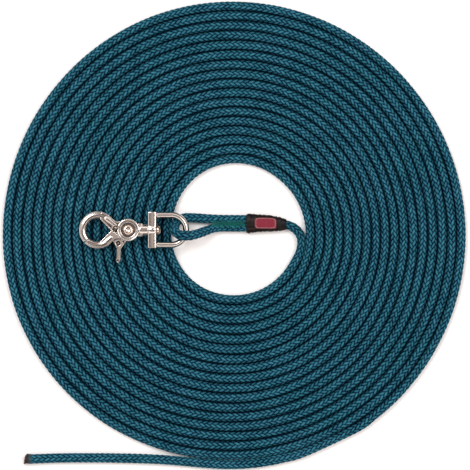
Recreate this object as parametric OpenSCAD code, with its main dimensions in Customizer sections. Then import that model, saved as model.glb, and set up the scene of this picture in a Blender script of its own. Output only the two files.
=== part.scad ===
// Long training leash: a round braided cord laid as a flat coil, with a sewn eye
// that holds a swivel ring and a lever snap hook.
// The frame's origin is on the floor at the middle of the coil, +Z up.

/* [Cord] */
// Thickness of the braided cord
cord_d = 6; // [5:0.5:8]
// Thickness of the cord where it is doubled and sewn
sewn_d = 5.2; // [4:0.1:5.2]
// Length of the melted end of the cord
tip_length = 4.5; // [2:0.5:8]

/* [Coil] */
// Outside of the flat coil
coil_d = 292; // [240:4:352]
// Open middle of the flat coil
opening_d = 80; // [80:1:84]

/* [Sleeve and stitching] */
// Wall of the sleeve that covers the cord's sewn end
sleeve_wall = 0.55; // [0.3:0.05:0.8]
// Length of the sleeve
sleeve_length = 23.3; // [16:0.1:26]
// Length of the plain woven patch on the sleeve
patch_length = 14; // [6:0.5:16]
// Thickness of the patch
patch_t = 0.4; // [0.2:0.1:1]
// Thickness of the sewing thread
thread_d = 0.7; // [0.4:0.1:1]
// Width of one zigzag stitch
stitch_w = 3.6; // [2:0.2:5]
// Number of zigzag stitches
stitches = 22; // [10:1:26]

/* [Swivel ring] */
// Thickness of the ring's round rod
rod_d = 4; // [3:0.5:5]
// Outside width of the ring
ring_w = 22.4; // [20:0.2:30]
// Straight length of the rods, from the bar to the bend
ring_straight = 9.2; // [6:0.2:16]
// Length of the flat bar along the hook's axis
bar_l = 5.2; // [4:0.2:8]
// Height of the flat bar
bar_h = 7.2; // [6.4:0.2:8]

/* [Swivel stud] */
// Thickness of the stud's shank
stud_d = 4; // [3:0.5:4.5]
// Width of the stud's head
stud_head_d = 6.2; // [5.5:0.1:8]
// Thickness of the stud's head
stud_head_t = 2.6; // [1.5:0.1:3]
// Thickness of the hook's neck
neck_d = 8.4; // [7:0.2:10]
// Length of the hook's neck
neck_l = 4.7; // [4:0.1:8]

/* [Snap hook] */
// Outside of the hook's eye
eye_d = 23.2; // [20:0.2:30]
// Thickness of the eye's round bar
hook_bar_d = 4.6; // [3.6:0.2:5.4]
// Distance from the rivet to the middle of the eye
eye_reach = 18.9; // [17:0.1:24]
// Width of the round boss at the rivet
boss_d = 14.2; // [12:0.2:18]
// Thickness of each half of the hook at the rivet
half_t = 3.35; // [3.2:0.05:4]
// Thickness of the two arms beside the boss
arm_t = 4.2; // [3:0.1:5]
// Direction of the seam between the jaws, seen from the middle of the eye
seam_angle = 222; // [205:1:240]

/* [Rivet and spring] */
// Thickness of the rivet's shank
rivet_d = 3.2; // [2.4:0.1:4]
// Width of the rivet's domed head
rivet_head_d = 7.4; // [6:0.1:8]
// Depth of the round recess that the head sits in
recess_depth = 1.15; // [0.8:0.05:1.3]
// Thickness of the spring wire
wire_d = 0.7; // [0.5:0.05:0.8]
// Mean width of the spring
spring_d = 6.2; // [5.4:0.1:6.6]

/* [Trigger] */
// Reach of the trigger's tip from the rivet
trigger_reach = 19.1; // [15:0.1:24]
// Width of the trigger
trigger_w = 2.3; // [1.8:0.1:3.5]
// Thickness of the trigger
trigger_t = 2.2; // [1.6:0.1:3]

/* [Hidden] */
$fn = 48;

// Clearances
run_gap = 0.06;   // turning fits, on the radius
face_gap = 0.1;   // between faces that turn on each other
jaw_gap = 0.3;    // between the two jaws
lay_gap = 0.3;    // between the hook and the coil that it lies on
wrap_gap = 0.05;  // between the sleeve and the cord inside it
eps = 0.01;

// Where the cord holds the ring, and the line of the hook
apex_x = -29.8;   // middle of the ring's rod at its round end
axis_y = 2.5;
stem_z = cord_d + max(neck_d, bar_h) / 2 + lay_gap;

// Swivel ring, from the round end towards the hook
bend_r = ring_w / 2 - rod_d / 2;
bend_x = apex_x - bend_r;
bar_x = bend_x - ring_straight;        // the bar's face inside the ring
neck_x = bar_x - bar_l - face_gap;     // the neck's free end
pivot_x = neck_x - neck_l - jaw_gap - boss_d / 2;

// Hook, in its own frame: the rivet at 0, 0, the eye towards -X, z = 0 on the stem's axis
boss_r = boss_d / 2;
eye_r = eye_d / 2 - hook_bar_d / 2;
neck_from = boss_r + jaw_gap - face_gap;
web_w = 0.95 * neck_d;
head_r = rivet_head_d / 2;
recess_r = head_r + 0.75;
pocket_r = spring_d / 2 + wire_d / 2 + 0.5;
pocket_depth = 1;
split = 0.05;                          // half of the gap between the two halves
arm_from = 55;                         // where each arm leaves the eye
trigger_angle = 251.5;                 // direction of the trigger from the rivet

// Doubled, sewn cord
sewn_z = sewn_d / 2 + wrap_gap + sleeve_wall + 0.1;
upper_y = 9.3;
lower_y = upper_y - sewn_d - 0.1;
seam_y = (upper_y + lower_y) / 2;
sleeve_x = 8.4;
sleeve_end = sleeve_x + sleeve_length;
lead_x = 31.7;
lead_y = 6;
stitch_x = -15;
stitch_step = 1;

// The eye: from the end under the sleeve, over the ring's rod, through the ring,
// under the rod again, and back to the sleeve
eye_route = [
    [20, lower_y, sewn_z], [10, lower_y, sewn_z], [0, lower_y, sewn_z], [-9, lower_y, sewn_z],
    [-14, 3.3, 4.1], [-17.6, 2, 6.2], [-21, 0.7, stem_z - 1.3], [-24.6, -0.4, stem_z + 2.1],
    [-28.4, -1.1, stem_z + 4.8], [-32.4, -0.9, stem_z + 5.7], [-35.6, 0.6, stem_z + 4.3],
    [-37, 3.4, stem_z + 1.1], [-36.4, 6.2, stem_z - 2.5], [-34.4, 8.8, 5.2],
    [-30.6, 10, 4.3], [-25, 10, 3.7], [-18, 9.6, sewn_z], [-8, upper_y, sewn_z], [4, upper_y, sewn_z],
    [14, upper_y, sewn_z], [20, upper_y, sewn_z], [26, 8.1, sewn_z], [lead_x, lead_y, sewn_z]
];

// The lead: from the sleeve into the coil's innermost turn
lead_route = [
    [lead_x, lead_y, sewn_z], [34.7, 5, 3.2], [37.8, 3.2, 3], [40.3, 0.4, 3], [41.6, -3.2, 3],
    [41.6, -7.4, 3], [40.3, -12.4, 3]
];

// The tail: off the outermost turn, straight to the melted end
tail_route = [
    [0, -143, 3], [-14, -142.6, 3], [-28, -141.4, 3], [-42, -140.2, 3], [-58, -139.4, 3],
    [-77, -139, 3], [-94, -138.9, 3], [-108, -139, 3], [-118, -139.3, 3], [-126, -139.6, 3]
];

// ---- Sweeping a round tube along points ----

// A point on the smooth curve through four neighbouring points
function curve_point(a, b, c, d, t) =
    0.5 * (2 * b + (c - a) * t + (2 * a - 5 * b + 4 * c - d) * t * t + (3 * b - a - 3 * c + d) * t * t * t);

function unit(v) = v / norm(v);

// The route with each stretch cut into smaller ones
function smooth_route(p, cuts) = let(n = len(p) - 1) [
    for (i = [0:n - 1], k = [0:cuts - 1])
        curve_point(p[max(i - 1, 0)], p[i], p[i + 1], p[min(i + 2, n)], k / cuts),
    p[n]
];

function heading(p, i) = unit(p[min(i + 1, len(p) - 1)] - p[max(i - 1, 0)]);

// A sideways direction carried along the route, square to each heading
function carry(p, i, side) = i >= len(p) ? [] : let(
    t = heading(p, i),
    s = unit(side - (side * t) * t)
) concat([s], carry(p, i + 1, s));

module tube(p, d, sides, start_side = [0, 0, 1]) {
    across = carry(p, 0, start_side);
    points = [
        for (i = [0:len(p) - 1], k = [0:sides - 1]) let(
            t = heading(p, i),
            a = 360 * k / sides
        ) p[i] + d / 2 * (cos(a) * across[i] + sin(a) * cross(t, across[i]))
    ];
    faces = concat(
        [[for (k = [sides - 1:-1:0]) k]],
        [for (i = [0:len(p) - 2], k = [0:sides - 1]) let(m = (k + 1) % sides)
            [i * sides + k, i * sides + m, (i + 1) * sides + m, (i + 1) * sides + k]],
        [[for (k = [0:sides - 1]) (len(p) - 1) * sides + k]]
    );
    polyhedron(points, [for (f = faces) [for (k = [len(f) - 1:-1:0]) f[k]]], convexity = 6);
}

// ---- The cord ----

module cord_coil() {
    r = cord_d / 2;
    color("teal")
    rotate_extrude($fn = 120) {
        translate([opening_d / 2 + r, 0]) square([coil_d / 2 - opening_d / 2 - cord_d, cord_d]);
        translate([opening_d / 2 + r, r]) circle(r);
        translate([coil_d / 2 - r, r]) circle(r);
    }
}

module lead_cord() {
    color("teal") tube(smooth_route(lead_route, 1), cord_d, 10);
}

module cord_eye() {
    color("teal") tube(smooth_route(eye_route, 2), sewn_d, 10);
}

module tail_cord() {
    color("teal") tube(tail_route, cord_d, 10);
}

module sealed_tip() {
    tip = tail_route[len(tail_route) - 1];
    color([0.07, 0.07, 0.07])
    translate(tip) rotate([0, -90, 0]) cylinder(d = cord_d, h = tip_length);
}

module seam_thread() {
    zigzag = [
        for (i = [0:stitches])
            [stitch_x + i * stitch_step, seam_y + (i % 2 == 0 ? -1 : 1) * stitch_w / 2,
             sewn_z + sewn_d / 2 + thread_d * 0.35]
    ];
    color("seagreen") tube(zigzag, thread_d, 8);
}

// ---- Sleeve and patch ----

// A stadium outline across the cord at x, around two runs at the heights y0 and y1
function stadium(x, y0, y1, r, n) = [
    for (k = [0:n - 1]) let(a = 360 * (k + 0.5) / n)
        [x, (cos(a) > 0 ? y1 : y0) + r * cos(a), sewn_z + r * sin(a)]
];

module label_sleeve() {
    n = 24;
    full = sleeve_x + sleeve_length * 0.5;
    stations = [
        [sleeve_x, lower_y, upper_y], [full, lower_y, upper_y], [sleeve_end, lead_y, lead_y + eps]
    ];
    loops = [
        for (wall = [sleeve_wall, 0], s = stations)
            stadium(s[0], s[1], s[2], sewn_d / 2 + wrap_gap + wall, n)
    ];
    points = [for (l = loops, p = l) p];
    last = len(stations) - 1;
    skin = function(base, flip) [
        for (i = [0:last - 1], k = [0:n - 1]) let(
            m = (k + 1) % n,
            a = (base + i) * n,
            f = [a + k, a + m, a + n + m, a + n + k]
        ) flip ? [f[3], f[2], f[1], f[0]] : f
    ];
    rim = function(at, flip) [
        for (k = [0:n - 1]) let(
            m = (k + 1) % n,
            o = at * n,
            i = (at + last + 1) * n,
            f = [o + k, i + k, i + m, o + m]
        ) flip ? [f[3], f[2], f[1], f[0]] : f
    ];
    walls = concat(skin(0, true), skin(last + 1, false));
    color([0.16, 0.1, 0.09])
    polyhedron(points, concat(walls, rim(0, true), rim(last, false)), convexity = 4);
}

module label_patch() {
    color([0.6, 0.12, 0.18])
    translate([sleeve_x + 2, lower_y, sewn_z + sewn_d / 2 + wrap_gap + sleeve_wall])
        cube([patch_length, upper_y - lower_y, patch_t]);
}

// ---- Swivel ring and its stud ----

module swivel_ring() {
    color("silver")
    translate([0, axis_y, stem_z]) {
        translate([bend_x, 0, 0]) rotate([0, 0, -90])
            rotate_extrude(angle = 180) translate([bend_r, 0]) circle(d = rod_d);
        for (side = [-1, 1])
            translate([bar_x - eps, side * bend_r, 0]) rotate([0, 90, 0])
                cylinder(d = rod_d, h = ring_straight + eps);
        difference() {
            translate([bar_x - bar_l, -ring_w / 2, -bar_h / 2]) cube([bar_l, ring_w, bar_h]);
            translate([bar_x - bar_l - 1, 0, 0]) rotate([0, 90, 0])
                cylinder(r = stud_d / 2 + run_gap, h = bar_l + 2);
        }
    }
}

module swivel_stud() {
    crown = stud_head_t * 0.4;
    color("gainsboro")
    translate([0, axis_y, stem_z]) rotate([0, 90, 0]) {
        translate([0, 0, neck_x - neck_l + 0.6])
            cylinder(d = stud_d, h = neck_l + bar_l + 2 * face_gap - 0.6 + eps);
        translate([0, 0, bar_x + face_gap]) cylinder(d = stud_head_d, h = stud_head_t - crown);
        translate([0, 0, bar_x + face_gap + stud_head_t - crown - eps])
            cylinder(d1 = stud_head_d, d2 = stud_head_d * 0.72, h = crown + eps);
    }
}

// ---- Snap hook ----

// One half of the hook, drawn as the fixed half. The trigger half is this turned over.
module half_eye(from, to) {
    translate([-eye_reach, 0, 0]) rotate([0, 0, from])
        rotate_extrude(angle = to - from) translate([eye_r, 0]) circle(d = hook_bar_d);
}

module arm_plan() {
    edge = -boss_r * sqrt(2);          // the inner edge is the line x + y = edge
    hole_y = eye_r - hook_bar_d / 2;
    outer = eye_d / 2;
    polygon([
        [-eye_reach + outer * cos(78), outer * sin(78)],
        [-eye_reach + outer * cos(arm_from), outer * sin(arm_from)],
        [-boss_r - 1, boss_r * 0.78],
        [0, boss_r * 0.7],
        [edge / 2, edge / 2],
        [edge - hole_y, hole_y],
        [-eye_reach + hole_y * cos(78), hole_y * sin(78)]
    ]);
}

// Everything on the far side of the other half's inner edge, on one side of the split
module beyond_edge() {
    reach = 2 * eye_reach;
    linear_extrude(reach) rotate([0, 0, 45])
        translate([-boss_r - jaw_gap, -reach]) square([2 * reach, 2 * reach]);
    cylinder(r = boss_r + jaw_gap, h = reach);
}

// The eye's bar from the arm round to the seam, with the arm, cut where the other half lies over it
module half_hook(to) {
    difference() {
        union() {
            half_eye(arm_from, to);
            linear_extrude(arm_t, center = true) arm_plan();
        }
        mirror([0, 0, 1]) translate([0, 0, -split]) mirror([0, 1, 0]) beyond_edge();
    }
}

module half_boss(r) {
    translate([0, 0, split]) cylinder(r = r, h = half_t);
}

module fixed_jaw() {
    color("silver")
    translate([pivot_x, axis_y, stem_z])
    difference() {
        union() {
            half_hook(seam_angle);
            half_boss(boss_r);
            translate([0, -web_w / 2, split]) cube([neck_from + 1.5, web_w, half_t]);
            translate([neck_from, 0, 0]) rotate([0, 90, 0])
                cylinder(d = neck_d, h = neck_x - pivot_x - neck_from);
        }
        translate([0, 0, split + half_t - recess_depth]) cylinder(r = recess_r, h = 10);
        translate([0, 0, -split]) cylinder(r = pocket_r, h = pocket_depth + 2 * split);
        translate([0, 0, -10]) cylinder(d = rivet_d, h = 20);
        translate([neck_x - neck_l + 0.6 - pivot_x, 0, 0]) rotate([0, 90, 0])
            cylinder(d = stud_d, h = neck_l);
    }
}

module trigger_lever() {
    tip = trigger_reach * [cos(trigger_angle), sin(trigger_angle)];
    root = boss_r + 1.6;
    w = trigger_w / 2;
    intersection() {
        union() {
            translate([0, 0, -half_t - split]) linear_extrude(half_t) lever_plan(tip, root, w);
            translate([0, 0, -trigger_t / 2]) linear_extrude(trigger_t) lever_plan(tip, root, w);
        }
        union() {
            translate([0, 0, -half_t - split]) cylinder(r = boss_r + 1.2, h = half_t);
            difference() {
                translate([-30, -40, -trigger_t / 2]) cube([60, 80, trigger_t]);
                translate([0, 0, -split]) beyond_edge();
            }
        }
    }
}

module lever_plan(tip, root, w) {
    translate(tip) circle(w * 1.1);
    polygon([
        [tip[0] - w, tip[1]], [tip[0] + w, tip[1]],
        [tip[0] * 0.95 + w, -root - 3], [-boss_r * 0.3, -root + 0.6], [0, -boss_r * 0.6],
        [-boss_r * 0.8, -boss_r * 0.5], [-boss_r * 1.35, -root + 2.2], [tip[0] * 0.95 - w, -root - 3]
    ]);
}

module trigger_jaw() {
    gap_angle = asin(jaw_gap / eye_r);
    color("silver")
    translate([pivot_x, axis_y, stem_z])
    difference() {
        union() {
            rotate([180, 0, 0]) half_hook(360 - seam_angle - gap_angle);
            rotate([180, 0, 0]) half_boss(boss_r - face_gap);
            trigger_lever();
        }
        translate([0, 0, -split - half_t - 1]) cylinder(r = recess_r, h = recess_depth + 1);
        translate([0, 0, -split - pocket_depth]) cylinder(r = pocket_r, h = pocket_depth + 2 * split);
        translate([0, 0, -10]) cylinder(r = rivet_d / 2 + run_gap, h = 20);
    }
}

module pivot_rivet() {
    top = split + half_t - recess_depth;
    dome = recess_depth * 1.25;
    ball_r = (head_r * head_r + dome * dome) / (2 * dome);
    color("gainsboro")
    translate([pivot_x, axis_y, stem_z]) {
        translate([0, 0, -top - face_gap - eps]) cylinder(d = rivet_d, h = 2 * top + face_gap + 2 * eps);
        intersection() {
            translate([0, 0, top + dome - ball_r]) sphere(ball_r, $fn = 96);
            translate([0, 0, top]) cylinder(r = head_r, h = dome);
        }
        translate([0, 0, -top - recess_depth]) cylinder(r = head_r - 0.3, h = recess_depth - face_gap);
    }
}

module return_spring() {
    turns = 1.4;
    pitch = wire_d + 0.05;
    steps = 22;
    coil = [
        for (i = [0:steps]) let(a = 360 * turns * i / steps)
            [spring_d / 2 * cos(a), spring_d / 2 * sin(a), pitch * turns * (i / steps - 0.5)]
    ];
    color("dimgray")
    translate([pivot_x, axis_y, stem_z]) tube(coil, wire_d, 8);
}

cord_coil();
lead_cord();
cord_eye();
tail_cord();
sealed_tip();
seam_thread();
label_sleeve();
label_patch();
swivel_ring();
swivel_stud();
fixed_jaw();
pivot_rivet();
return_spring();
trigger_jaw();
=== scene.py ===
import math
import bpy
import bmesh
import numpy as np
from mathutils import Matrix, Vector, noise


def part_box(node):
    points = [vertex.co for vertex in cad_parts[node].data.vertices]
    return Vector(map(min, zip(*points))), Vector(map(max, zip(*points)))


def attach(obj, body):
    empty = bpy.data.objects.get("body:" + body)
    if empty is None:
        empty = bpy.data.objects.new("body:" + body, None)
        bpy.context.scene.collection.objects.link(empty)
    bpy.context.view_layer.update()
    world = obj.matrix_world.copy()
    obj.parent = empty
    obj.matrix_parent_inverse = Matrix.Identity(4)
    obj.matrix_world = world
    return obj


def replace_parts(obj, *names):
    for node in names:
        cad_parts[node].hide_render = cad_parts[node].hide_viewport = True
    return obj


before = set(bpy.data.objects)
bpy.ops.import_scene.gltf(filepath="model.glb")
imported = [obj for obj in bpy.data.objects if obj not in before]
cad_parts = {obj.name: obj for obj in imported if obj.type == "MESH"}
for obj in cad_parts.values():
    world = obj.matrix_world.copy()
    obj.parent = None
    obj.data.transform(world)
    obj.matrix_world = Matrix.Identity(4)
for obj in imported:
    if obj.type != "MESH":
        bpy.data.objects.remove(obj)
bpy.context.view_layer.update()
scene = bpy.context.scene
mm = 0.001


# Camera, lights and floor

view = {
    "centre": (0.37 * mm, -0.62 * mm), "width": 291.4 * mm, "height": 1.8, "sensor": 36.0, "level": 5 * mm,
}


def placeCamera(v):
    camera = bpy.data.cameras.new("topCamera")
    camera.sensor_width = v["sensor"]
    camera.lens = v["sensor"] * v["height"] / v["width"]
    camera.clip_start = 0.1
    camera.clip_end = 20
    holder = bpy.data.objects.new("topCamera", camera)
    holder.location = (v["centre"][0], v["centre"][1], v["height"] + v["level"])
    scene.collection.objects.link(holder)
    scene.camera = holder
    print("camera placed")


studio = {
    "floorSize": 6.0,
    "lamps": [  # name, place, size, watts, colour
        ("keyLamp", (-0.8, 0.9, 1.5), 0.5, 3, (1.0, 0.98, 0.95)),
        ("fillLamp", (1.1, -0.7, 1.3), 0.5, 2.5, (1.0, 0.86, 0.78)),
        ("leftLamp", (-0.85, 0.75, 2.3), 0.8, 19, (0.98, 0.99, 1.0)),
        ("rightLamp", (0.95, 0.45, 2.2), 0.8, 13, (1.0, 0.99, 0.98)),
    ],
    "sky": 1.85,
}


class Wire:  # one output of a shader node, usable in sums
    def __init__(self, look, socket):
        self.look, self.socket = look, socket

    def math(self, operation, *others):
        return self.look.node("Math", {"operation": operation}, dict(enumerate((self, *others))))

    def __add__(self, other):
        return self.math("ADD", other)

    def __radd__(self, other):
        return self.math("ADD", other)

    def __sub__(self, other):
        return self.math("SUBTRACT", other)

    def __rsub__(self, other):
        return self.look.node("Math", {"operation": "SUBTRACT"}, {0: other, 1: self})

    def __mul__(self, other):
        return self.math("MULTIPLY", other)

    def __rmul__(self, other):
        return self.math("MULTIPLY", other)

    def __pow__(self, other):
        return self.math("POWER", other)

    def sine(self):
        return self.math("SINE")

    def clamp(self):
        return self.look.node("Clamp", {}, {0: self})

    def output(self, name):
        return Wire(self.look, self.socket.node.outputs[name])


class Look:  # a node material, or the sky's node tree
    def __init__(self, name, owner=None):
        self.owner = owner or bpy.data.materials.new(name)
        self.owner.use_nodes = True
        self.tree = self.owner.node_tree
        self.tree.nodes.clear()

    def node(self, kind, settings, sockets, out=0):
        made = self.tree.nodes.new("ShaderNode" + kind)
        for key, value in settings.items():
            if key == "stops":
                ramp = made.color_ramp
                while len(ramp.elements) < len(value):
                    ramp.elements.new(0.5)
                for element, (place, colour) in zip(ramp.elements, value):
                    element.position = place
                    element.color = (*colour, 1)
            else:
                setattr(made, key, value)
        for key, value in sockets.items():
            if isinstance(value, Wire):
                self.tree.links.new(value.socket, made.inputs[key])
            elif isinstance(value, tuple) and len(value) == 3 and len(made.inputs[key].default_value) == 4:
                made.inputs[key].default_value = (*value, 1)
            else:
                made.inputs[key].default_value = value
        return Wire(self, made.outputs[out])

    def mix(self, factor, a, b):
        return self.node("Mix", {"data_type": "RGBA"}, {0: factor, 6: a, 7: b}, 2)

    def grain(self, scale, detail=2.0, stretch=None):
        place = self.node("TexCoord", {}, {}).output("Object")
        if stretch:
            place = self.node("Mapping", {}, {"Vector": place, "Scale": stretch})
        return self.node("TexNoise", {}, {"Vector": place, "Scale": scale, "Detail": detail})

    def surface(self, **sockets):
        named = {key.replace("_", " "): value for key, value in sockets.items()}
        shader = self.node("BsdfPrincipled", {}, named)
        end = self.tree.nodes.new("ShaderNodeOutputMaterial")
        self.tree.links.new(shader.socket, end.inputs["Surface"])
        return self.owner

    def bump(self, height, strength, distance):
        return self.node("Bump", {}, {"Height": height, "Strength": strength, "Distance": distance})


def studioLights(s):
    world = bpy.data.worlds.new("studioSky")
    scene.world = world
    sky = Look("", world)
    up = sky.node("TexCoord", {}, {}).output("Generated")
    height = sky.node("SeparateXYZ", {}, {"Vector": up}).output("Z")
    wander = sky.node("TexNoise", {}, {"Vector": up, "Scale": 3.2, "Detail": 2.0})
    tone = sky.node("ValToRGB", {"stops": [
        (0.0, (0.2, 0.18, 0.17)), (0.05, (0.02, 0.018, 0.018)), (0.42, (0.05, 0.035, 0.035)),
        (0.58, (0.7, 0.56, 0.52)), (0.72, (1.0, 0.95, 0.9)), (0.83, (0.9, 0.9, 0.9)),
        (0.9, (0.09, 0.065, 0.06)), (0.955, (0.07, 0.05, 0.048)), (0.985, (0.2, 0.16, 0.15)),
        (1.0, (0.33, 0.3, 0.28)),
    ]}, {"Fac": height + (wander - 0.5) * 0.1})
    light = sky.node("Background", {}, {"Color": tone, "Strength": s["sky"]})
    end = sky.tree.nodes.new("ShaderNodeOutputWorld")
    sky.tree.links.new(light.socket, end.inputs["Surface"])
    for name, place, size, watts, colour in s["lamps"]:
        lamp = bpy.data.lights.new(name, "AREA")
        lamp.size = size
        lamp.energy = watts
        lamp.color = colour
        holder = bpy.data.objects.new(name, lamp)
        holder.location = place
        holder.rotation_euler = (Vector((0, 0, 0)) - Vector(place)).to_track_quat("-Z", "Y").to_euler()
        scene.collection.objects.link(holder)
    print("lights placed")


def layFloor(s):
    look = Look("paleFloor")
    speck = look.grain(30, 3)
    tone = look.mix(speck, (0.93, 0.93, 0.93), (0.96, 0.96, 0.96))
    bm = bmesh.new()
    bmesh.ops.create_grid(bm, x_segments=1, y_segments=1, size=s["floorSize"] / 2)
    mesh = bpy.data.meshes.new("paleFloor")
    bm.to_mesh(mesh)
    bm.free()
    floor = bpy.data.objects.new("paleFloor", mesh)
    scene.collection.objects.link(floor)
    mesh.materials.append(look.surface(Base_Color=tone, Roughness=0.9))
    print("floor laid")


scene.view_settings.view_transform = "Standard"
placeCamera(view)
studioLights(studio)
layFloor(studio)


# Making a piece

def addPiece(name, mesh, body, look):
    piece = bpy.data.objects.new(name, mesh)
    scene.collection.objects.link(piece)
    mesh.materials.clear()
    mesh.materials.append(look)
    mesh.shade_smooth()
    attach(piece, body)
    return piece


def toMesh(bm, name):
    mesh = bpy.data.meshes.new(name)
    bm.to_mesh(mesh)
    bm.free()
    return mesh


def readPlaces(mesh):
    places = np.zeros(len(mesh.vertices) * 3)
    mesh.vertices.foreach_get("co", places)
    return places.reshape(-1, 3)


def writePlaces(mesh, places):
    mesh.vertices.foreach_set("co", np.asarray(places, float).ravel())
    mesh.update()


# The cord's line

cord = {
    "width": 6.0 * mm,       # the real cord
    "sewnWidth": 5.2 * mm,   # where it is doubled and sewn
    "squeezed": 4.7 * mm,    # inside the shrunk sleeve
    "crown": 2.95 * mm,      # radius on top of a stitch
    "press": 0.13 * mm,      # how far neighbouring turns press into each other
    "dip": 0.55 * mm,        # depth of the gaps between stitches
    "free": 1.055,           # how much wider it spreads where no turn lies beside it
    "settled": 0.985,        # share of its thickness where nothing squeezes it
    "sewnX": (-16, 31),      # mm, between these, and above sewnY, it is doubled and sewn
    "sewnY": 3,
    "sleeveX": (6, 10),      # mm, stops spreading and then is squeezed on its way into the sleeve
    "sewnEnds": 0.2,         # m along the cord, past the sewn part
    "coilStarts": 0.155,     # m along the cord
    "coilEnds": 0.175,       # m before the far end
    "widest": (0.96, 1.16),  # limits on how wide a turn reaches for its neighbours
    "squarest": 0.72,        # how square the sewn part is, 1 is round
    "gap": (0.47, 0.43),     # height, in radii, where the painted shade in the gap between two turns ends, and its fade
    "core": 2.2 * mm,
    "stitch": 3.4 * mm,      # length of one stitch row along the cord
    "strands": 16,
    "cuts": 3,               # mesh cuts across one strand
    "sheaths": 5,            # the cover is split into this many stretches
    "length": 10.2,
}

eyePoints = [
    (20, 4, 3.3), (10, 4, 3.3), (0, 4, 3.3), (-9, 4, 3.3), (-14, 3.3, 4.1), (-17.6, 2, 6.2),
    (-21, 0.7, 9.2), (-24.6, -0.4, 12.6), (-28.4, -1.1, 15.3), (-32.4, -0.9, 16.2), (-35.6, 0.6, 14.8),
    (-37, 3.4, 11.6), (-36.4, 6.2, 8), (-34.4, 8.8, 5.2), (-30.6, 10, 4.3), (-25, 10, 3.7), (-18, 9.6, 3.3),
    (-8, 9.3, 3.3), (4, 9.3, 3.3), (14, 9.3, 3.3), (20, 9.3, 3.3), (26, 8.1, 3.3), (31.7, 6, 3.3),
]
leadPoints = [
    (34.7, 5, 3.2), (37.8, 3.2, 3), (40.3, 0.4, 3), (41.6, -3.2, 3), (41.6, -7.4, 3), (40.3, -12.4, 3),
]
tailPoints = [
    (44.5, -134.9, 3), (30, -139.1, 3), (15, -141.9, 3), (0, -143, 3), (-14, -142.6, 3), (-28, -141.4, 3),
    (-42, -140.2, 3), (-58, -139.4, 3), (-77, -139, 3), (-94, -138.9, 3), (-108, -139, 3),
    (-118, -139.3, 3), (-126, -139.6, 3),
]

coil = {
    "firstTurn": 0.075, "lastTurn": 17.16, "startRadius": 40.8, "pitch": 5.98, "height": 3.0,
    "centre": (0.5, 1.0), "centreDrift": (-0.17, -0.06), "pointsPerTurn": 72,
    "driftTurns": [1, 6, 11, 16],
    "drift": [  # mm that the turns stray outwards every 20 degrees, from a scratch fit to the picture
        [0.4, 0.5, -0.5, 0.5], [-1.1, -0.2, -0.6, 0.5], [-0.7, 0.1, -0.2, 0.6], [0.1, -0.2, -0.5, 0.4],
        [0.1, 0.1, -0.7, 0.5], [1.0, 0.5, 0.1, 0.7], [1.1, 0.5, 0.2, 0.6], [-0.8, -1.2, -0.6, -0.7],
        [-2.0, -2.7, -3.1, -2.6], [-2.1, -1.2, -1.2, -1.1], [-0.6, 0.3, 1.0, 0.7], [-0.1, -0.1, 0.4, 1.0],
        [-0.9, 0.0, 0.1, -0.7], [-0.4, 0.2, -0.1, -0.8], [-0.6, 0.4, -0.2, -0.8], [-0.8, 0.2, 0.1, -0.7],
        [0.1, 0.6, 0.5, 0.8], [0.7, 1.0, 0.1, 1.1],
    ],
}


def evened(values, reach):
    padded = np.pad(np.asarray(values, float), reach, mode="edge")
    return np.convolve(padded, np.ones(2 * reach + 1) / (2 * reach + 1), mode="valid")


def coilLine(c):
    turns = np.arange(c["firstTurn"], c["lastTurn"], 1 / c["pointsPerTurn"])
    angles = (-360 * turns) % 360
    table = np.array(c["drift"] + c["drift"][:1])
    bearing = np.arange(len(table)) * 360 / len(c["drift"])
    byTurn = np.array([np.interp(angles, bearing, column) for column in table.T])
    strayed = np.array([np.interp(t, c["driftTurns"], byTurn[:, i]) for i, t in enumerate(turns)])
    strayed = evened(strayed, 7)
    radius = c["startRadius"] + c["pitch"] * turns + strayed
    x = c["centre"][0] + c["centreDrift"][0] * turns + radius * np.cos(np.radians(angles))
    y = c["centre"][1] + c["centreDrift"][1] * turns + radius * np.sin(np.radians(angles))
    return np.stack([x, y, np.full_like(x, c["height"])], 1)


def smoothLine(points, step):
    p = np.vstack([points[:1], points, points[-1:]])
    t = np.linspace(0, 1, 12, endpoint=False)[:, None]
    dense = []
    for i in range(1, len(p) - 2):
        a, b, c, d = p[i - 1:i + 3]
        dense.append(0.5 * (2 * b + (c - a) * t + (2 * a - 5 * b + 4 * c - d) * t ** 2
                            + (3 * b - a - 3 * c + d) * t ** 3))
    dense = np.vstack([*dense, p[-1:]])
    along = np.concatenate([[0], np.cumsum(np.linalg.norm(np.diff(dense, axis=0), axis=1))])
    stations = np.linspace(0, along[-1], int(round(along[-1] / step)) + 1)
    line = np.stack([np.interp(stations, along, dense[:, k]) for k in range(3)], 1)
    return stations, line


def lineSides(line):  # level sideways direction and upward direction at each point
    ahead = np.gradient(line, axis=0)
    side = np.cross([0.0, 0.0, 1.0], ahead)
    side /= np.linalg.norm(side, axis=1)[:, None]
    up = np.cross(ahead, side)
    return side, up / np.linalg.norm(up, axis=1)[:, None]


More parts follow.
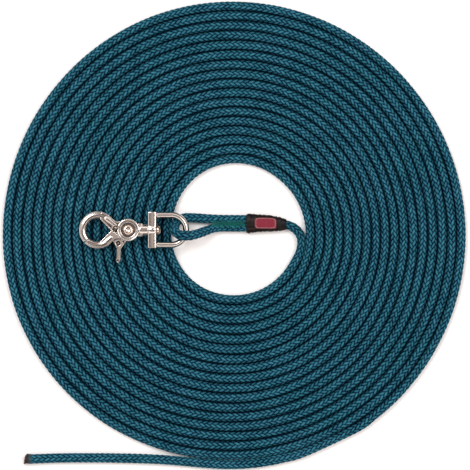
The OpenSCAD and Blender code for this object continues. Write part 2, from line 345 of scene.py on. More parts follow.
class CordLine:
    def __init__(self):
        points = np.vstack([eyePoints, leadPoints, coilLine(coil), tailPoints]) * mm
        self.stations, self.places = smoothLine(points, 0.5 * mm)
        self.side, self.up = lineSides(self.places)
        self.length = self.stations[-1]
        x, y = self.places[:, 0] / mm, self.places[:, 1] / mm
        left, right = cord["sewnX"]
        covered, squeezed = cord["sleeveX"]
        sewn = (self.stations < cord["sewnEnds"]) & (y > cord["sewnY"]) & (x > left) & (x < right)
        thin = np.where(sewn, cord["sewnWidth"] / cord["width"], cord["settled"])
        thin = np.where(sewn & (x > squeezed), cord["squeezed"] / cord["width"], thin)
        self.thin = evened(thin, 12)
        self.square = evened(np.where(sewn, cord["squarest"], 1.0), 12)
        self.spread = np.where(sewn & (x > covered), 1.0, cord["free"])
        inCoil = (self.stations > cord["coilStarts"]) & (self.stations < self.length - cord["coilEnds"])
        self.outer, self.outWide = self.beside(inCoil, 1)
        self.inner, self.inWide = self.beside(inCoil, -1)

    def beside(self, inCoil, turn):  # where a turn lies beside this one, and how far the cord reaches to it
        x, y = self.places[inCoil, 0], self.places[inCoil, 1]
        turns = -np.unwrap(np.arctan2(y, x)) / (2 * math.pi)
        radius = np.hypot(x, y)
        there = (turns + turn > turns[0]) & (turns + turn < turns[-1])
        gap = np.abs(np.interp(turns + turn, turns, radius) - radius)
        wide = self.spread.copy()
        wide[inCoil] = np.where(there, (gap / 2 + cord["press"]) / (cord["settled"] * cord["crown"]), 1.0)
        met = np.zeros(len(self.stations))
        met[inCoil] = there
        return evened(met, 40), evened(np.clip(wide, *cord["widest"]), 24)

    def at(self, s, values):
        if values.ndim == 1:
            return np.interp(s, self.stations, values)
        return np.stack([np.interp(s, self.stations, values[:, k]) for k in range(3)], 1)

    def around(self, s, angle, radius):
        r = radius * self.at(s, self.thin)
        box = self.at(s, self.square)
        across, above = np.cos(angle), np.sin(angle)
        wide = np.where(across > 0, self.at(s, self.outWide), self.at(s, self.inWide))
        across = np.sign(across) * np.abs(across) ** box * r * wide
        above = np.sign(above) * np.abs(above) ** box * r
        return (self.at(s, self.places) + across[:, None] * self.at(s, self.side)
                + above[:, None] * self.at(s, self.up))

    def pressed(self, s, angle):  # 1 where the side lies against another turn
        return np.where(np.cos(angle) > 0, self.at(s, self.outer), self.at(s, self.inner))

    def hollow(self, s, angle):  # 1 in the open, 0 deep between two turns; the braid colour uses it for the shade painted there
        top, fade = cord["gap"]
        return 1 - self.pressed(s, angle) * (1 - np.clip((np.sin(angle) - top) / fade, 0, 1))


line = CordLine()
print("cord line:", round(float(line.length), 3), "m")


def twist(s):
    return 0.55 * np.sin(s / 0.031 + 0.4) + 0.8 * np.sin(s / 0.083 + 2.0) + 1.4 * np.sin(s / 0.29)


def tubeMesh(name, stations, sides, radius):
    bm = bmesh.new()
    bmesh.ops.create_grid(bm, x_segments=sides, y_segments=len(stations) - 1, size=1)
    mesh = toMesh(bm, name)
    index = np.arange(len(mesh.vertices))
    column, row = index % (sides + 1), index // (sides + 1)
    angle = 2 * math.pi * column / sides
    writePlaces(mesh, line.around(stations[row], angle, np.full(len(index), radius)))
    return closeTube(mesh, sides)


def closeTube(mesh, sides, cut=False):
    bm = bmesh.new()
    bm.from_mesh(mesh)
    seam = [v for v in bm.verts if v.index % (sides + 1) in (0, sides)]
    bmesh.ops.remove_doubles(bm, verts=seam, dist=1e-6)
    if cut:
        bmesh.ops.triangulate(bm, faces=bm.faces[:], quad_method="SHORT_EDGE")
    rims = [e for e in bm.edges if e.is_boundary]
    bmesh.ops.holes_fill(bm, edges=rims, sides=0)
    for e in rims:
        e.smooth = False
    bm.to_mesh(mesh)
    bm.free()
    return mesh


def strandCells(p, q, cuts):  # which strand lies on top, and where on its stitch each point is
    cellA, cellB = np.floor(p / cuts), np.floor(q / cuts)
    return cellA, cellB, (cellA + cellB) % 4


def stitchPlace(a, b, cellA, cellB, kind):
    along = np.where(kind < 2, a - cellA + (kind == 1), b - cellB + (kind == 3))
    across = np.where(kind < 2, b - cellB, a - cellA)
    return along / 2, across


def sheathMesh(name, firstRow, lastRow):
    cuts = cord["cuts"]
    sides, rows = cord["strands"] * cuts, lastRow - firstRow
    bm = bmesh.new()
    bm.loops.layers.uv.new("weave")
    bmesh.ops.create_grid(bm, x_segments=sides, y_segments=rows, size=1, calc_uvs=True)
    mesh = toMesh(bm, name)
    index = np.arange(len(mesh.vertices))
    column, row = index % (sides + 1), index // (sides + 1) + firstRow
    step = 2 * row + column % 2
    p, q = (column + step) / 2, (column - step) / 2
    cellA, cellB, kind = strandCells(p, q, cuts)
    along, across = stitchPlace(p / cuts, q / cuts, cellA, cellB, kind)
    lift = (1 - np.abs(2 * across - 1) ** 2.3) * (4 * along * (1 - along)) ** 0.6
    s = step * cord["stitch"] / (2 * cuts)
    angle = 2 * math.pi * column / sides + twist(s)
    touching = line.pressed(s, angle) * np.clip(np.abs(np.cos(angle)) * 2 - 0.9, 0, 1)
    dip = cord["dip"] * (1 - 0.8 * touching)
    writePlaces(mesh, line.around(s, angle, cord["crown"] - dip * (1 - lift)))
    # mask for the painted shade between neighbouring turns, read by the braid colour
    hollow = mesh.attributes.new("hollow", "FLOAT", "POINT")
    hollow.data.foreach_set("value", line.hollow(s, angle))
    closeTube(mesh, sides, cut=True)
    weave = mesh.uv_layers["weave"]
    flat = np.zeros(len(mesh.loops) * 2)
    weave.uv.foreach_get("vector", flat)
    u, v = flat.reshape(-1, 2).T
    column = np.round(u * sides)
    step = 2 * (np.round(v * rows) + firstRow) + column % 2
    totals = np.zeros(len(mesh.polygons), int)
    mesh.polygons.foreach_get("loop_total", totals)
    p, q = (column + step) / 2, (column - step) / 2
    owner = np.repeat(np.arange(len(totals)), totals)
    meanP = (np.bincount(owner, p) / totals)[owner]
    meanQ = (np.bincount(owner, q) / totals)[owner]
    cellA, cellB, kind = strandCells(meanP, meanQ, cuts)
    along, across = stitchPlace(p / cuts, q / cuts, cellA, cellB, kind)
    headA, headB = cellA - (kind == 1), cellB - (kind == 3)
    scatter = np.sin((headA - headB) * 12.9898 + ((headA + headB) % cord["strands"]) * 78.233)
    shade = np.abs(scatter * 43758.5453) % 1  # a tone for each stitch, without a random draw
    caps = totals[owner] > 3
    along, across = np.where(caps, 0, along), np.where(caps, 0, across)
    weave.uv.foreach_set("vector", np.stack([along, across], 1).ravel())
    strand = mesh.color_attributes.new("strand", "FLOAT_COLOR", "CORNER")
    side = (kind >= 2).astype(float)
    colours = np.stack([shade, side, np.zeros_like(side), np.ones_like(side)], 1)
    strand.data.foreach_set("color", colours.ravel())
    return mesh


# deep is the painted shade colour for the gaps between turns and the stitch edges; crownShare paints each
# stitch top towards high, a painted highlight
braid = {
    "deep": (0.0, 0.002, 0.007), "low": (0.0003, 0.012, 0.029), "high": (0.05, 0.22, 0.318),
    "green": (0.01, 0.16, 0.165), "yarns": 3.0, "rough": 0.75,
    "crownShare": 0.8, "fibreShare": 0.24, "shadeShare": 0.26, "fineShare": 0.34, "darker": 0.5,
    "greenShare": 0.35, "bottom": 0.1,  # the least light that a gap keeps
}


def braidLook(name, b):
    look = Look(name)
    uv = look.node("UVMap", {"uv_map": "weave"}, {})
    place = look.node("SeparateXYZ", {}, {"Vector": uv})
    along, across = place.output("X"), place.output("Y")
    strand = look.node("Attribute", {"attribute_name": "strand"}, {})
    strand = look.node("SeparateColor", {}, {"Color": strand})
    shade = strand.output("Red")
    flank = (4 * across * (1 - across)).clamp()
    ends = (4 * along * (1 - along)).clamp()
    crown = (flank ** 0.9) * (ends ** 0.6)
    wander = look.grain(900, 2)
    fibre = (across * (b["yarns"] * 2 * math.pi) + shade * 6 + wander * 3).sine() * 0.5 + 0.5
    broad = look.grain(55, 3)
    fine = look.grain(2600, 2)
    # painted highlight and shade: the top of each stitch is painted lighter and its edges darker
    tone = crown * b["crownShare"] + fibre * b["fibreShare"] + shade * b["shadeShare"]
    tone = (tone + fine * b["fineShare"] - b["darker"]).clamp()
    colour = look.mix(tone, b["low"], b["high"])
    greener = (broad * 1.8 - 0.55).clamp() * b["greenShare"]
    colour = look.mix(greener, colour, look.mix(tone, b["low"], b["green"]))
    # painted shade: the colour falls towards the deep colour at stitch edges and in the gaps between turns
    lit = look.node("Attribute", {"attribute_name": "hollow"}, {}).output("Fac")
    lit = (crown * 2.2).clamp() * (lit * (1 - b["bottom"]) + b["bottom"])
    colour = look.mix(lit.clamp(), b["deep"], colour)
    height = crown * 0.6 + fibre * 0.25 + fine * 0.15
    return look.surface(Base_Color=colour, Roughness=b["rough"], Specular_IOR_Level=0.0,
                        Normal=look.bump(height, 0.45, 0.0003))


def makeCord():
    cordLook = braidLook("braidedCord", braid)
    plain = Look("cordCore")
    coreTone = plain.mix(plain.grain(700, 2), (0.004, 0.02, 0.03), (0.01, 0.05, 0.07))
    coreLook = plain.surface(Base_Color=coreTone, Roughness=0.9)
    stations = np.linspace(0, line.length, int(line.length / (2 * mm)))
    mesh = tubeMesh("cordCore", stations, 10, cord["core"])
    core = addPiece("cordCore", mesh, "cord", coreLook)
    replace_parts(core, "cord_coil", "lead_cord", "cord_eye", "tail_cord")
    rowStep = cord["stitch"] / cord["cuts"]
    rows = int(line.length / rowStep)
    splits = [round(rows * k / cord["sheaths"]) for k in range(cord["sheaths"] + 1)]
    sheaths = []
    for k in range(cord["sheaths"]):
        name = f"braidSheath{k + 1}"
        mesh = sheathMesh(name, splits[k], splits[k + 1])
        sheaths.append(addPiece(name, mesh, "cord", cordLook))
        print(name, "done,", len(mesh.polygons), "faces")
    return core, sheaths, [tuple(c) for c in line.at(stations, line.places)]


core, sheaths, centres = makeCord()
print("cord done")


# Tubes and turned shapes

def sweptTube(name, points, radius, sides, step):
    stations, places = smoothLine(np.array(points, float), step)
    side, up = lineSides(places)
    bm = bmesh.new()
    bmesh.ops.create_grid(bm, x_segments=sides, y_segments=len(places) - 1, size=1)
    mesh = toMesh(bm, name)
    index = np.arange(len(mesh.vertices))
    angle, row = 2 * math.pi * (index % (sides + 1)) / sides, index // (sides + 1)
    out = np.cos(angle)[:, None] * side[row] + np.sin(angle)[:, None] * up[row]
    writePlaces(mesh, places[row] + radius * out)
    return closeTube(mesh, sides)


def latheMesh(name, outline, place, steps=64):
    bm = bmesh.new()
    verts = [bm.verts.new((r, 0, h)) for r, h in outline]
    edges = [bm.edges.new(pair) for pair in zip(verts, verts[1:])]
    bmesh.ops.spin(bm, geom=verts + edges, cent=(0, 0, 0), axis=(0, 0, 1), angle=2 * math.pi,
                   steps=steps, use_merge=True)
    bmesh.ops.remove_doubles(bm, verts=bm.verts[:], dist=1e-7)
    bmesh.ops.recalc_face_normals(bm, faces=bm.faces[:])
    bmesh.ops.transform(bm, matrix=place, verts=bm.verts[:])
    return toMesh(bm, name)


# Melted end of the cord

tip = {"start": -125.6 * mm, "end": -130.4 * mm, "radius": 2.98 * mm, "slant": 0.3, "lumps": 0.3 * mm,
       "drip": 0.45 * mm, "melt": -127.6 * mm, "sides": 72, "rows": 40,
       "sideShare": 0.72, "dome": 0.14}  # shares of the rows on the side and of the length in the end face


def meltedLook():
    look = Look("meltedEnd")
    broad, fine = look.grain(700, 3), look.grain(3000, 2)
    burnt = look.mix((broad * 2.2 - 0.6).clamp(), (0.002, 0.0015, 0.002), (0.03, 0.009, 0.012))
    fused = look.mix((fine * 1.6 - 0.4).clamp(), (0.0006, 0.012, 0.02), (0.012, 0.09, 0.12))
    along = look.node("SeparateXYZ", {}, {"Vector": look.node("TexCoord", {}, {}).output("Object")})
    melted = ((along * -1 + tip["melt"] + (broad - 0.5) * 3 * mm) * (1 / (0.7 * mm)) + 0.5).clamp()
    colour = look.mix(melted, fused, burnt)
    return look.surface(Base_Color=colour, Roughness=fine * 0.3 + 0.3, Specular_IOR_Level=0.3,
                        Normal=look.bump(broad * 0.6 + fine * 0.4, 0.5, 0.0004))


def lumps(places, size, amount, seed):  # smooth bumps that need no random draw
    offset = Vector((seed, 2 * seed, 3 * seed))
    return np.array([noise.noise(Vector(p) / size + offset) for p in places]) * amount


def makeTip(t):
    bm = bmesh.new()
    bmesh.ops.create_grid(bm, x_segments=t["sides"], y_segments=t["rows"], size=1)
    mesh = toMesh(bm, "meltedTip")
    index = np.arange(len(mesh.vertices))
    angle = 2 * math.pi * (index % (t["sides"] + 1)) / t["sides"]
    along = (index // (t["sides"] + 1)) / t["rows"]
    reach = np.clip(along / t["sideShare"], 0, 1)             # the side, then the end face
    face = np.clip((along - t["sideShare"]) / (1 - t["sideShare"]), 0, 1)
    radius = t["radius"] * (1 - face) ** 0.55 * (1 + 0.05 * np.sin(3 * angle + 1) * reach)
    y = line.places[-1, 1] + radius * np.cos(angle)
    z = line.places[-1, 2] + radius * np.sin(angle) * 0.97
    x = t["start"] + (t["end"] - t["start"]) * (reach * (1 - t["dome"]) + t["dome"] * face)
    x = x + reach * (-t["slant"] * (line.places[-1, 1] - y) - 0.4 * mm * np.sin(2 * angle) * (1 - face))
    places = np.stack([x, y, z], 1)
    bumps = lumps(places, 1.6 * mm, t["lumps"], 4.0) + lumps(places, 0.7 * mm, t["lumps"] * 0.5, 9.0)
    centre = np.array([t["start"] - 1.5 * mm, line.places[-1, 1], line.places[-1, 2]])
    out = places - centre
    out /= np.linalg.norm(out, axis=1)[:, None]
    places = places + out * (bumps * np.clip(along * 6, 0, 1))[:, None]
    places[:, 1] -= t["drip"] * reach ** 6 * np.clip(-2 * np.cos(angle) - 1, 0, 1) * (1 - face)
    places[:, 2] = np.maximum(places[:, 2], 0.02 * mm)
    writePlaces(mesh, places)
    piece = addPiece("meltedTip", closeTube(mesh, t["sides"]), "cord", meltedLook())
    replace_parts(piece, "sealed_tip")
    print("melted tip done")
    return piece


# Zigzag sewing

sewing = {"from": -13.8, "to": 7.2, "low": 4.0, "high": 8.6, "step": 0.62, "thread": 0.19 * mm, "top": 5.98}


def threadLook():
    look = Look("sewingThread")
    twistLines = look.node("TexWave", {"bands_direction": "DIAGONAL"},
                           {"Vector": look.node("TexCoord", {}, {}).output("Object"), "Scale": 900.0,
                            "Distortion": 1.5})
    tone = look.grain(800, 2)
    tone = (tone * 1.4 + twistLines * 0.5 - 0.5).clamp()
    colour = look.mix(tone, (0.001, 0.05, 0.05), (0.012, 0.2, 0.17))
    return look.surface(Base_Color=colour, Roughness=0.6, Specular_IOR_Level=0.15,
                        Normal=look.bump(twistLines, 0.4, 0.0001))


def makeSewing(s):
    count = int((s["to"] - s["from"]) / s["step"])
    points = []
    for i in range(count + 1):
        x = s["from"] + i * s["step"]
        y = (s["low"], s["high"])[i % 2] + 0.35 * math.sin(i * 2.3) + 0.2 * math.sin(i * 0.71)
        turn = 0.5 if i % 2 else -0.5
        points.append((x - 0.06, y - turn, s["top"]))
        points.append((x, y, s["top"] - 0.3))
        points.append((x + 0.06, y - turn * 0.9, s["top"]))
    mesh = sweptTube("zigzagThread", np.array(points) * mm, s["thread"], 8, 0.16 * mm)
    piece = addPiece("zigzagThread", mesh, "cord", threadLook())
    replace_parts(piece, "seam_thread")
    print("sewing done")
    return piece


# Shrink sleeve and its patch

sleeve = {
    "sides": 96, "rows": 150, "middle": 3.3, "half": 3.16, "squareness": 0.74,
    "outline": [  # along the cord, lower edge, upper edge, in mm
        (7.4, 0.9, 12.2), (8.2, 0.45, 12.6), (10, 0.5, 12.6), (12.5, 0.95, 12.4), (16, 1.3, 12.1),
        (20, 1.4, 11.9), (23, 1.55, 11.5), (26, 1.7, 10.9), (28.5, 1.85, 10.4), (30, 2.0, 10.0),
        (31.3, 2.3, 9.5), (32.2, 2.6, 9.0),
    ],
    "folds": [  # height, place along the cord, slant and width, in mm
        (0.16, 9.6, 0.5, 0.42), (-0.15, 10.7, 0.6, 0.5), (0.13, 28.6, -0.7, 0.35), (-0.1, 29.5, 0, 0.4),
    ],
    "crease": 0.11, "pucker": 0.05, "lip": 0.05, "turnedIn": 0.3,
}


def sleeveSkin(x, angle):  # places on the sleeve, all in mm
    xs, low, high = np.array(sleeve["outline"]).T
    y0, y1 = np.interp(x, xs, low), np.interp(x, xs, high)
    power = sleeve["squareness"]
    across, above = np.cos(angle), np.sin(angle)
    fold = sum(height * np.exp(-((x - place - slant * across) / width) ** 2)
               for height, place, slant, width in sleeve["folds"])
    crease = sleeve["crease"] * np.sin(x * 1.9 + 3.5 * across + 1.2 * np.sin(x * 0.7 + 2 * above))
    crease = crease * (0.35 + 0.65 * np.abs(across)) + sleeve["pucker"] * np.sin(x * 4.6 - 5 * across)
    out = 1 + (fold + crease) / 3.2
    y = (y0 + y1) / 2 + np.sign(across) * np.abs(across) ** power * ((y1 - y0) / 2 + fold + crease)
    z = sleeve["middle"] + np.sign(above) * np.abs(above) ** power * sleeve["half"] * out
    return y, z


def sleeveLook():
    look = Look("shrinkSleeve")
    broad, fine = look.grain(260, 3), look.grain(1800, 3)
    scuff = look.grain(520, 4, stretch=(0.35, 1.6, 1.0))
    colour = look.mix((scuff * 3.2 - 1.6).clamp(), (0.0015, 0.001, 0.001), (0.042, 0.021, 0.019))
    colour = look.mix((broad * 2.4 - 0.9).clamp() * 0.75, colour, (0.004, 0.002, 0.002))
    return look.surface(Base_Color=colour, Roughness=fine * 0.3 + 0.24, Specular_IOR_Level=0.16,
                        Normal=look.bump(scuff * 0.7 + fine * 0.2, 0.4, 0.0004))


def makeSleeve(v):
    bm = bmesh.new()
    bmesh.ops.create_grid(bm, x_segments=v["sides"], y_segments=v["rows"], size=1)
    mesh = toMesh(bm, "shrinkSleeve")
    index = np.arange(len(mesh.vertices))
    angle = 2 * math.pi * (index % (v["sides"] + 1)) / v["sides"]
    share = (index // (v["sides"] + 1)) / v["rows"]
    first, last = v["outline"][0][0], v["outline"][-1][0]
    x = first + (last - first) * np.clip((share - v["lip"]) / (1 - 2 * v["lip"]), 0, 1)
    tuck = np.clip(1 - share / v["lip"], 0, 1) + np.clip(1 - (1 - share) / v["lip"], 0, 1)  # turned-in ends
    y, z = sleeveSkin(x, angle)
    xs, low, high = np.array(v["outline"]).T
    middle = (np.interp(x, xs, low) + np.interp(x, xs, high)) / 2
    kept = 1 - v["turnedIn"] * tuck
    y, z = middle + (y - middle) * kept, v["middle"] + (z - v["middle"]) * kept
    places = np.stack([x + 0.15 * np.sin(3 * angle) * (1 - tuck), y, np.maximum(z, 0.03)], 1) * mm
    writePlaces(mesh, places)
    piece = addPiece("shrinkSleeve", closeTube(mesh, v["sides"]), "cord", sleeveLook())
    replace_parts(piece, "label_sleeve")
    print("sleeve done")
    return piece


patch = {"from": 12.4, "to": 26.2, "low": 3.3, "high": 10.2, "corner": 0.16, "lift": 0.1, "thick": 0.28,
         "cuts": (110, 56)}


def patchLook():
    look = Look("wovenPatch")
    uv = look.node("SeparateXYZ", {}, {"Vector": look.node("UVMap", {"uv_map": "patch"}, {})})
    u, v = uv.output("X"), uv.output("Y")
    ribs = (v * 190).sine() * 0.5 + 0.5
    picks = (u * 260 + v * 130).sine() * 0.5 + 0.5
    weave = ribs * 0.6 + picks * 0.4
    edge = (1 - (u * 2 - 1) ** 8) * (1 - (v * 2 - 1) ** 6)
    rim = 1 - ((edge - 0.42) * 6).clamp()
    border = (1 - ((edge - 0.66) * 9).math("ABSOLUTE")).clamp()
    tone = (weave * 0.7 + look.grain(900, 2) * 0.6 - 0.25).clamp()
    red = look.mix(tone, (0.11, 0.008, 0.02), (0.36, 0.04, 0.07))
    colour = look.mix(border * 0.8, red, look.mix(tone, (0.34, 0.2, 0.2), (0.66, 0.5, 0.5)))
    colour = look.mix(rim, colour, look.mix(tone, (0.06, 0.012, 0.016), (0.16, 0.045, 0.05)))
    return look.surface(Base_Color=colour, Roughness=0.65, Specular_IOR_Level=0.2,
                        Normal=look.bump(weave, 0.5, 0.0002))


def makePatch(p):
    bm = bmesh.new()
    bm.loops.layers.uv.new("patch")
    bmesh.ops.create_grid(bm, x_segments=p["cuts"][0], y_segments=p["cuts"][1], size=1, calc_uvs=True)
    mesh = toMesh(bm, "wovenPatch")
    u, v = readPlaces(mesh)[:, 0], readPlaces(mesh)[:, 1]
    u, v = u * (1 - p["corner"] * v ** 2 * u ** 2 * 0.25), v * (1 - p["corner"] * u ** 6 * v ** 2)
    x = (p["from"] + p["to"]) / 2 + u * (p["to"] - p["from"]) / 2
    bend = np.interp(x, [12, 20, 27], [0.0, 0.0, -0.35])
    y = (p["low"] + p["high"]) / 2 + v * (p["high"] - p["low"]) / 2 * (1 - 0.05 * np.clip(u, 0, 1)) + bend
    xs, low, high = np.array(sleeve["outline"]).T
    y0, y1 = np.interp(x, xs, low), np.interp(x, xs, high)
    turn = np.clip((y - (y0 + y1) / 2) / ((y1 - y0) / 2), -0.98, 0.98)
    angle = np.arccos(np.sign(turn) * np.abs(turn) ** (1 / sleeve["squareness"]))
    z = sleeveSkin(x, angle)[1] + p["lift"]
    writePlaces(mesh, np.stack([x, y, z], 1) * mm)
    piece = addPiece("wovenPatch", mesh, "cord", patchLook())
    body = piece.modifiers.new("cloth", "SOLIDIFY")
    body.thickness = p["thick"] * mm
    body.offset = 0.6
    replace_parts(piece, "label_patch")
    print("patch done")
    return piece


# Cast and turned metal

def chromeLook(name, tint=(0.66, 0.61, 0.57), rough=0.12, ripple=0.1, paintedCornerShade=False):
    look = Look(name)
    broad, fine = look.grain(170, 3), look.grain(1500, 3)
    colour = look.mix((broad * 1.5 - 0.25).clamp(), tuple(c * 0.84 for c in tint), tint)
    if paintedCornerShade:                                   # painted shade darkens the inner corners, which are also made rougher
        corner = look.node("Attribute", {"attribute_name": "corner"}, {}).output("Fac")
        colour = look.mix(corner, colour, (0.035, 0.028, 0.028))
        rough = corner * 0.35 + rough
    return look.surface(Base_Color=colour, Metallic=1.0, Roughness=fine * 0.1 + (rough - 0.03),
                        Normal=look.bump(broad * 0.7 + fine * 0.3, ripple, 0.0004))


def centreOf(node):
    low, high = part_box(node)
    return (low + high) / 2


pivot = Vector((centreOf("pivot_rivet").x, centreOf("pivot_rivet").y, centreOf("swivel_stud").z))

# where painted shade falls on the chrome: inner corners from shallow to shallow + deep mm, and a ring at
# groove mm round the rivet
cast = {"voxel": 0.17 * mm, "reach": 14, "shallow": 0.015, "deep": 0.08, "groove": 4.0}
ringBar = {  # mm: half its width, how far its faces round off, and the collar as radius and height
    "half": 2.6, "drop": 0.09,
    "collar": [(2.1, -2.6), (3.7, -2.6), (4.15, -2.2), (4.15, 2.2), (3.7, 2.6), (2.1, 2.6)],
}


# The CAD piece and its raised details, melted into one casting
def castMesh(name, node, details, evening, hollows):
    bm = bmesh.new()
    bm.from_mesh(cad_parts[node].data)
    bmesh.ops.remove_doubles(bm, verts=bm.verts[:], dist=1e-6)
    details(bm)
    rough = bpy.data.objects.new(name + "Rough", toMesh(bm, name + "Rough"))
    scene.collection.objects.link(rough)
    melt = rough.modifiers.new("melt", "REMESH")
    melt.mode = "VOXEL"
    melt.voxel_size = cast["voxel"]
    even = rough.modifiers.new("even", "SMOOTH")
    even.iterations = evening
    even.factor = 0.5
    depsgraph = bpy.context.evaluated_depsgraph_get()
    mesh = bpy.data.meshes.new_from_object(rough.evaluated_get(depsgraph))
    bpy.data.objects.remove(rough)
    mesh.name = name
    places = readPlaces(mesh)
    for hollow in hollows:
        places = sunk(places, *hollow)
    if node == "swivel_ring":
        half = ringBar["half"] * mm
        places = crowned(places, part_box(node)[0].x + half, half, ringBar["drop"])
    writePlaces(mesh, places)
    markCorners(mesh)
    return mesh


def sunk(places, centre, radii, turn, depth):  # an oval hollow in the casting's top, in mm from the rivet
    x, y = (places[:, 0] - pivot.x) / mm - centre[0], (places[:, 1] - pivot.y) / mm - centre[1]
    c, s = math.cos(math.radians(turn)), math.sin(math.radians(turn))
    far = ((x * c + y * s) / radii[0]) ** 2 + ((y * c - x * s) / radii[1]) ** 2
    top = np.clip((places[:, 2] - pivot.z) / (0.8 * mm) + 0.2, 0, 1)
    places = places.copy()
    places[:, 2] -= depth * mm * np.clip(1.6 * (1 - far), 0, 1) * top
    return places


def crowned(places, middle, half, drop):  # rounds the flat faces of the bar across its width
    across = np.clip(np.abs(places[:, 0] - middle) / half, 0, 1)
    inBar = places[:, 0] < middle + half * 1.02
    places = places.copy()
    places[:, 2] -= (places[:, 2] - pivot.z) * drop * across ** 2 * inBar
    return places


def markCorners(mesh):  # 1 in inner corners, from how far the evened surface stands off the real one; it masks painted shade on the chrome
    edges = np.zeros(len(mesh.edges) * 2, int)
    mesh.edges.foreach_get("vertices", edges)
    a, b = edges.reshape(-1, 2).T
    count = np.bincount(np.concatenate([a, b]), minlength=len(mesh.vertices))[:, None]
    real = readPlaces(mesh)
    even = real.copy()
    for _ in range(cast["reach"]):
        total = np.stack([np.bincount(np.concatenate([a, b]), np.concatenate([even[b, k], even[a, k]]),
                                      minlength=len(real)) for k in range(3)], 1)
        even = total / np.maximum(count, 1)
    normals = np.zeros(len(real) * 3)
    mesh.vertex_normals.foreach_get("vector", normals)
    depth = ((even - real) * normals.reshape(-1, 3)).sum(1) / mm
    fromRivet = np.hypot(real[:, 0] - pivot.x, real[:, 1] - pivot.y) / mm
    onFace = np.abs(real[:, 2] - pivot.z) > 1.8 * mm
    # painted shadow: a dark ring in the groove round the rivet, joined to the corner shade in the corner
    # attribute
    paintedGrooveShadow = np.clip(1.6 - np.abs(fromRivet - cast["groove"]) / 0.35, 0, 1) * onFace
    inCorner = np.clip((depth - cast["shallow"]) / cast["deep"], 0, 1)
    corner = mesh.attributes.new("corner", "FLOAT", "POINT")
    corner.data.foreach_set("value", np.maximum(inCorner, paintedGrooveShadow * 0.85))


def bar(bm, a, b, radius, sides=20):  # a round bar with rounded ends, in mm from the rivet
    a, b = Vector(a) * mm, Vector(b) * mm
    turn = (b - a).to_track_quat("Z", "Y").to_matrix().to_4x4()
    place = Matrix.Translation(pivot + (a + b) / 2) @ turn
    bmesh.ops.create_cone(bm, cap_ends=True, segments=sides, radius1=radius * mm, radius2=radius * mm,
                          depth=(b - a).length, matrix=place)
    for end in (a, b):
        bmesh.ops.create_uvsphere(bm, u_segments=sides, v_segments=sides // 2, radius=radius * mm,
                                  matrix=Matrix.Translation(pivot + end))


def hoop(bm, centre, radius, section, start=0, end=360, steps=72):
    # section: (outwards, upwards) points in mm, spun round a centre given in mm from the rivet
    place = Matrix.Translation(pivot + Vector(centre) * mm) @ Matrix.Rotation(math.radians(start), 4, "Z")
    verts = [bm.verts.new(place @ Vector(((radius + x) * mm, 0, z * mm))) for x, z in section]
    edges = [bm.edges.new((a, b)) for a, b in zip(verts, verts[1:] + verts[:1])]
    whole = end - start >= 360
    before = set(bm.faces)
    bmesh.ops.spin(bm, geom=verts + edges, cent=pivot + Vector(centre) * mm, axis=(0, 0, 1),
                   angle=math.radians(end - start), steps=steps, use_merge=whole)
    made = [f for f in bm.faces if f not in before]
    if not whole:
        rims = [e for f in made for e in f.edges if e.is_boundary]
        made += bmesh.ops.holes_fill(bm, edges=list(set(rims)), sides=0)["faces"]
    bmesh.ops.recalc_face_normals(bm, faces=made)


def roundSection(radius, sides=14):
    return [(radius * math.cos(2 * math.pi * k / sides), radius * math.sin(2 * math.pi * k / sides))
            for k in range(sides)]


def bandSection(width, height, corner):
    w, h, c = width / 2, height / 2, corner
    return [(w, h - c), (w - c, h), (c - w, h), (-w, h - c),
            (-w, c - h), (c - w, -h), (w - c, -h), (w, c - h)]


hook = {
    "eye": (-18.9, 0, 0), "eyeRadius": 9.3, "band": (4.5, 4.3, 1.1),
    "fixedArc": (50, 221.6), "triggerArc": (224, 308),
    "rim": (6.35, 0.75, 3.2),
    "fixedBars": [  # start, end and radius
        ((-13.6, 7.2, 0.3), (-6.4, 1.6, 1.0), 2.2),                 # the arm
        ((-17.0, 6.9, 1.9), (-12.2, 2.1, 2.2), 0.62),               # its ridge, in three lengths
        ((-12.2, 2.1, 2.2), (-6.8, -3.3, 3.1), 0.62),
        ((-6.8, -3.3, 3.1), (-3.6, -6.5, 2.6), 0.6),
        ((10.6, 0, 0), (7.4, 0, 0), 4.1),                           # the neck
    ],
    "triggerBars": [
        ((-14.6, -8.0, 0), (-10.6, -4.6, 0), 2.3),
        ((-6.3, -10.4, 0), (-6.35, -19.5, 0), 1.15), ((-9.4, -5.6, -0.7), (-6.5, -10.9, 0), 0.95),
        ((-2.4, -8.4, -0.9), (-6.1, -11.0, 0), 0.95),
    ],
    "fixedHollows": [((-7.9, 0.7), (2.5, 1.8), 62, 0.8)],
    "triggerHollows": [((-6.2, -8.2), (1.5, 1.7), 0, 1.0), ((-6.38, -19.0), (0.5, 1.1), 0, 0.7)],
}


def fixedDetails(bm):
    hoop(bm, hook["eye"], hook["eyeRadius"], bandSection(*hook["band"]), *hook["fixedArc"])
    hoop(bm, (0, 0, hook["rim"][2]), hook["rim"][0], roundSection(hook["rim"][1]))
    for ends in hook["fixedBars"]:
        bar(bm, *ends)


def triggerDetails(bm):
    hoop(bm, hook["eye"], hook["eyeRadius"], bandSection(*hook["band"]), *hook["triggerArc"])
    for ends in hook["triggerBars"]:
        bar(bm, *ends)


def ringDetails(bm):
    low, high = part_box("swivel_ring")
    middle = Vector((low.x + ringBar["half"] * mm, (low.y + high.y) / 2, pivot.z))
    place = Matrix.Translation(middle) @ Matrix.Rotation(math.pi / 2, 4, "Y")
    before = set(bm.faces)
    verts = [bm.verts.new(place @ Vector((r * mm, 0, h * mm))) for r, h in ringBar["collar"]]
    edges = [bm.edges.new(pair) for pair in zip(verts, verts[1:] + verts[:1])]
    bmesh.ops.spin(bm, geom=verts + edges, cent=middle, axis=(1, 0, 0), angle=2 * math.pi,
                   steps=48, use_merge=True)
    bmesh.ops.recalc_face_normals(bm, faces=[f for f in bm.faces if f not in before])


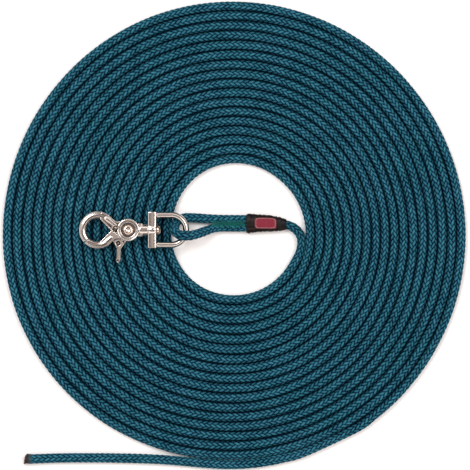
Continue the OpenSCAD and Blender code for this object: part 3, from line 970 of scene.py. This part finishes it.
turned = {  # mm: radius, and height from the low end or from the top; lumps: size, share, seed, depth
    "studShank": [(0, 0), (1.95, 0)],
    "studHead": [(2.0, -2.7), (2.0, -2.6), (2.9, -2.6), (3.1, -2.35), (3.1, -1.3), (2.9, -0.9),
                 (2.3, -0.35), (1.5, -0.05), (1.0, 0), (0.7, -0.25), (0.35, -0.4), (0, -0.42)],
    "studLumps": (1.6, 0.03, 2.0, 2.5),
    "rivetTail": [(0, 0), (2.9, 0), (3.35, 0.3), (3.4, 1.0), (1.58, 1.06)],
    "rivetHead": [(1.58, -1.42), (3.65, -1.4), (3.7, -1.15), (3.35, -0.75), (2.7, -0.35), (1.9, -0.1),
                  (1.1, 0), (0.8, -0.14), (0, -0.2)],
    "rivetLumps": (1.8, 0.05, 6.0, 1.3),
}


def turnedMesh(name, base, top, ends, place):  # a turned shape between two heights in mm
    outline = [(r, base + h) for r, h in turned[ends[0]]] + [(r, top + h) for r, h in turned[ends[1]]]
    return latheMesh(name, [(r * mm, h * mm) for r, h in outline], place)


def hammered(mesh, centre, settings, along, top):  # uneven where the head was struck
    size, share, seed, depth = settings
    places = readPlaces(mesh)
    struck = lumps(places, size * mm, share, seed) * (places[:, along] > top - depth * mm)
    writePlaces(mesh, places + (places - np.array(centre)) * struck[:, None])


def makeHook():
    chrome = chromeLook("chrome", paintedCornerShade=True)
    steel = chromeLook("rivetSteel", (0.56, 0.46, 0.4), 0.16, 0.16)
    for name, node, body, details, evening, hollows in (
            ("fixedJaw", "fixed_jaw", "hook", fixedDetails, 9, hook["fixedHollows"]),
            ("triggerJaw", "trigger_jaw", "trigger", triggerDetails, 7, hook["triggerHollows"]),
            ("swivelRing", "swivel_ring", "ring", ringDetails, 16, [])):
        piece = addPiece(name, castMesh(name, node, details, evening, hollows), body, chrome)
        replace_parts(piece, node)
        print(name, "done,", len(piece.data.polygons), "faces")
    low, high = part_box("swivel_stud")
    along = Matrix.Translation((0, pivot.y, pivot.z)) @ Matrix.Rotation(math.pi / 2, 4, "Y")
    mesh = turnedMesh("swivelStud", low.x / mm, high.x / mm, ("studShank", "studHead"), along)
    hammered(mesh, (readPlaces(mesh)[:, 0].mean(), pivot.y, pivot.z), turned["studLumps"], 0, high.x)
    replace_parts(addPiece("swivelStud", mesh, "hook", steel), "swivel_stud")
    low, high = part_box("pivot_rivet")
    bottom, top = (low.z - pivot.z) / mm, (high.z - pivot.z) / mm
    mesh = turnedMesh("pivotRivet", bottom, top, ("rivetTail", "rivetHead"), Matrix.Translation(pivot))
    hammered(mesh, pivot, turned["rivetLumps"], 2, high.z)
    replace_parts(addPiece("pivotRivet", mesh, "hook", steel), "pivot_rivet")
    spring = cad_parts["return_spring"]
    spring.data.materials.clear()
    spring.data.materials.append(chromeLook("springSteel", (0.45, 0.45, 0.47), 0.3, 0.2))
    print("hook done")


riders = [makeTip(tip), makeSewing(sewing), makeSleeve(sleeve), makePatch(patch)]
makeHook()
